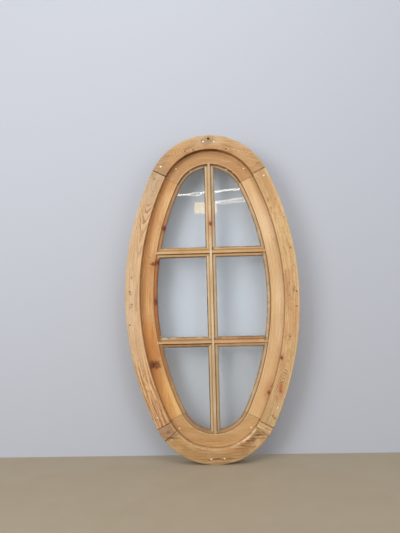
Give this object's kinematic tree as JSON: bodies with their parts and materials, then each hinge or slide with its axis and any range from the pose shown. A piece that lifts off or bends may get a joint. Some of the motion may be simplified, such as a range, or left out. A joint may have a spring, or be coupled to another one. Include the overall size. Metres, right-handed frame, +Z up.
{
  "type": "oval oculus window",
  "caption": "Oval timber window: a curved pine ring with a fixed moulded sash, mitred glazing bars, old glass panes and putty behind.",
  "frame": {"origin": "middle of the oval, halfway through the ring's thickness", "axes": "+X to the right and +Z up as seen from the front, +Y into the wall; the front faces -Y"},
  "size_m": [0.65, 0.058, 1.224],
  "materials": {
    "ring_pine": "stripped and sanded pine, dry matt",
    "block_pine": "weathered pine, grain across the ring",
    "sash_pine": "stripped and sanded pine, warmer and more yellow",
    "bar_pine": "stripped pine with darker quirks",
    "hardwood": "plain hardwood, hidden",
    "peg_wood": "end grain, sanded flush",
    "glass": "clear old drawn glass, slightly wavy",
    "putty": "aged linseed putty",
    "steel": "dull old steel"
  },
  "bodies": {
    "root": {"frame_head": "ring_pine", "frame_foot": "ring_pine", "frame_jamb_left": "ring_pine", "frame_jamb_right": "ring_pine", "foot_block_left": "block_pine", "foot_block_right": "block_pine", "sash_head": "sash_pine", "sash_foot": "sash_pine", "sash_stile_left": "sash_pine", "sash_stile_right": "sash_pine", "bar_vertical": "bar_pine", "bar_upper_left": "bar_pine", "bar_upper_right": "bar_pine", "bar_lower_left": "bar_pine", "bar_lower_right": "bar_pine", "tongue_head_left": "hardwood", "tongue_head_right": "hardwood", "tongue_foot_left": "hardwood", "tongue_foot_right": "hardwood", "frame_pegs": "peg_wood", "frame_plugs": "peg_wood", "sash_pegs": "peg_wood", "bar_dowels": "peg_wood", "pane_upper_left": "glass", "putty_upper_left": "putty", "pane_upper_right": "glass", "putty_upper_right": "putty", "pane_middle_left": "glass", "putty_middle_left": "putty", "pane_middle_right": "glass", "putty_middle_right": "putty", "pane_lower_left": "glass", "putty_lower_left": "putty", "pane_lower_right": "glass", "putty_lower_right": "putty", "glazing_sprigs": "steel", "sash_screws": "steel"}
  },
  "joints": []
}
